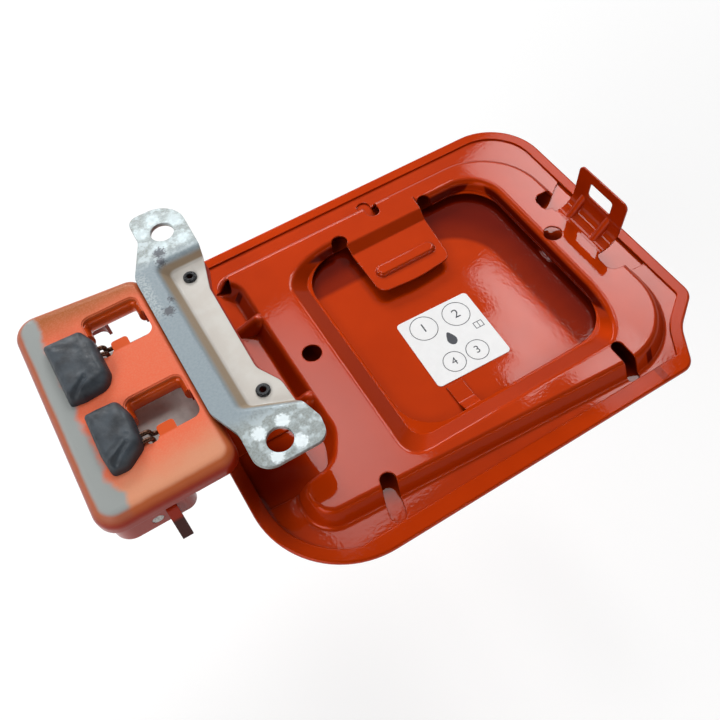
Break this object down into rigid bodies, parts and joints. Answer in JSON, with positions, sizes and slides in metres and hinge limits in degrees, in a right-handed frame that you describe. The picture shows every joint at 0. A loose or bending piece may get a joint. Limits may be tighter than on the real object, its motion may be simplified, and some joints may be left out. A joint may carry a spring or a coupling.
{
  "type": "car fuel door",
  "caption": "Painted steel car fuel door: hemmed outer skin, stamped inner panel with cap tongue and latch eye, swan-neck hinge arm, sprung hinge box and a bolt-on bracket.",
  "frame": {"origin": "centre of the outer skin's outline, on the plane the skin rests on", "axes": "+X from the hinge edge to the latch edge, +Y along the hinge axis from the lower bolt ear to the upper one, +Z from the outer skin towards the inside of the car"},
  "size_m": [0.2785, 0.1875, 0.0429],
  "materials": {
    "body_paint": "gloss burnt orange",
    "box_paint": "thin orange over grey primer",
    "grey_primer": "satin primer",
    "zinc_steel": "galvanised",
    "plain_steel": "drawn",
    "black_steel": "blackened",
    "spring_steel": "dark oiled wire",
    "sleeve_rubber": "matte slate",
    "label_film": "satin white film"
  },
  "bodies": {
    "hinge": {"hinge_box": "box_paint", "hinge_pin": "plain_steel", "mounting_bracket": "zinc_steel", "rivet_upper": "black_steel", "rivet_lower": "black_steel", "spring_upper": "spring_steel", "spring_lower": "spring_steel", "sleeve_upper": "sleeve_rubber", "sleeve_lower": "sleeve_rubber"},
    "door": {"outer_panel": "body_paint", "inner_panel": "body_paint", "fuel_label": "label_film", "hinge_arm": "grey_primer"}
  },
  "joints": [
    {"name": "door_swing", "type": "hinge", "parent": "hinge", "child": "door", "pos_m": [-0.1455, 0.018, 0.0174], "axis": [0, 1, 0], "range_deg": [0, 85], "stiffness_Nm_per_rad": 0.08, "springref_deg": -34.38, "deforming": ["spring_upper", "spring_lower"]}
  ]
}
